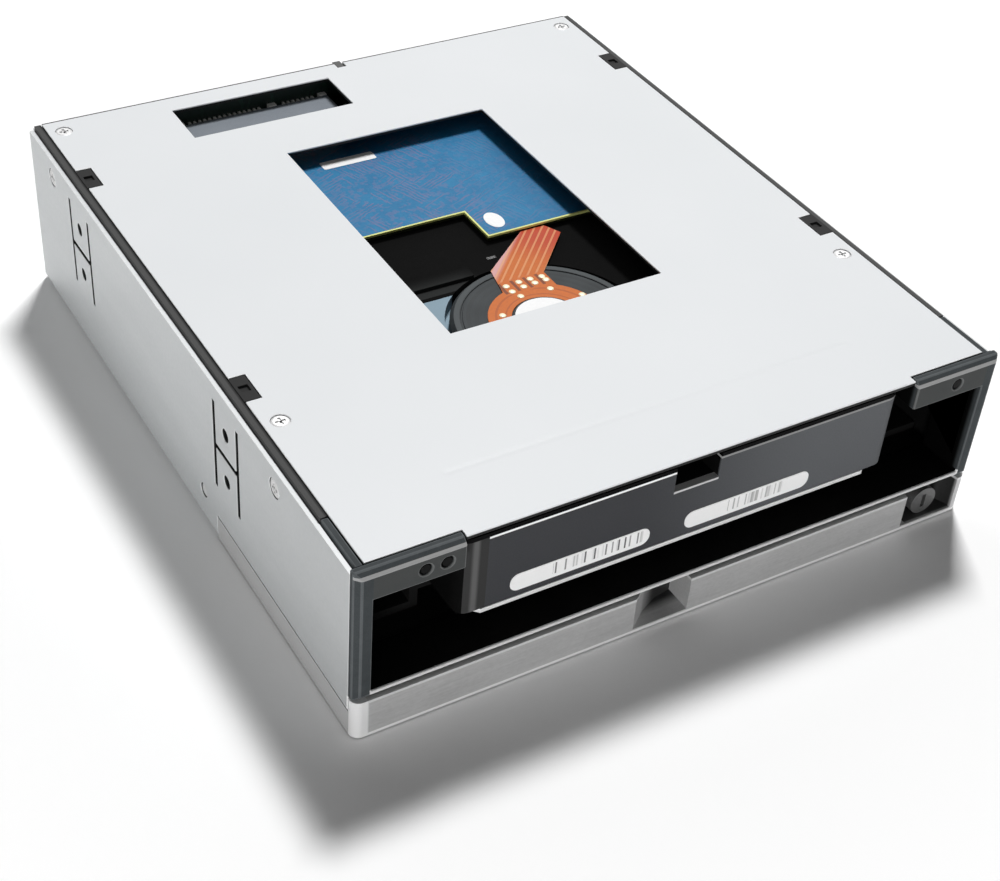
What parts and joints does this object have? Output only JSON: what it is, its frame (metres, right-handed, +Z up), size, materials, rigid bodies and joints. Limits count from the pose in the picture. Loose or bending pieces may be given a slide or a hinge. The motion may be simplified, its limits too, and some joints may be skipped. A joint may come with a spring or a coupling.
{
  "type": "hot swap drive cage",
  "caption": "Half-height bay cage that takes a 3.5-inch drive without a tray, with windowed plate, bevelled front frame, pocket door and backplane.",
  "frame": {"origin": "bottom centre of the outline, on the face that the cage rests on", "axes": "+X to the right across the front, +Y from the front towards the connectors, +Z up from the resting face to the windowed plate"},
  "size_m": [0.146, 0.1696, 0.0413],
  "materials": {
    "plate_steel": "very light grey satin",
    "cover_steel": "silver grey satin",
    "frame_plastic": "dark grey fine texture",
    "guide_plastic": "black",
    "deck_steel": "black satin",
    "lens_clear": "smoked clear",
    "board_green": "solder mask over laminate",
    "spring_steel": "bright rolled",
    "connector_plastic": "dark grey moulded",
    "contact_metal": "tinned",
    "screw_steel": "nickel plated",
    "casting_black": "black e-coat",
    "lid_steel": "satin",
    "gasket_rubber": "foamed",
    "board_blue": "blue solder mask",
    "motor_dark": "dark anodised",
    "flex_amber": "copper flexible circuit under polyimide",
    "drive_screw_steel": "zinc plated",
    "door_aluminium": "fine brushed, anodised",
    "arm_plastic": "black",
    "pin_steel": "ground",
    "lock_chrome": "bright"
  },
  "bodies": {
    "body": {"backplane": "board_green", "data_header": "connector_plastic", "deck": "deck_steel", "drive_receptacle": "connector_plastic", "front_frame": "frame_plastic", "lamp_boards": "board_green", "leaf_springs": "spring_steel", "left_guide": "guide_plastic", "left_track": "guide_plastic", "outer_cover": "cover_steel", "plate_screws": "screw_steel", "power_header": "connector_plastic", "power_lens": "lens_clear", "rear_panel": "cover_steel", "rear_screws": "screw_steel", "receptacle_contacts": "contact_metal", "right_guide": "guide_plastic", "right_track": "guide_plastic", "side_screws": "screw_steel", "status_lenses": "lens_clear", "track_rivets": "screw_steel", "window_plate": "plate_steel"},
    "drive": {"drive_casting": "casting_black", "drive_lid": "lid_steel", "lid_gasket": "gasket_rubber", "drive_board": "board_blue", "drive_plug": "connector_plastic", "motor_cap": "motor_dark", "motor_flex": "flex_amber", "board_screws": "drive_screw_steel", "lid_screws": "drive_screw_steel"},
    "door": {"door_leaf": "door_aluminium", "left_arm": "arm_plastic", "right_arm": "arm_plastic", "guide_pins": "pin_steel"},
    "lock": {"lock_barrel": "lock_chrome", "lock_cam": "lock_chrome"}
  },
  "joints": [
    {"name": "drive_slide", "type": "slide", "parent": "body", "child": "drive", "axis": [0, -1, 0], "range_m": [0, 0.15]},
    {"name": "door_slide", "type": "slide", "parent": "body", "child": "door", "axis": [0, -1, 0], "range_m": [0, 0.04]},
    {"name": "lock_turn", "type": "hinge", "parent": "door", "child": "lock", "pos_m": [0.0636, -0.0828, 0.0046], "axis": [0, 1, 0], "range_deg": [0, 90]}
  ]
}
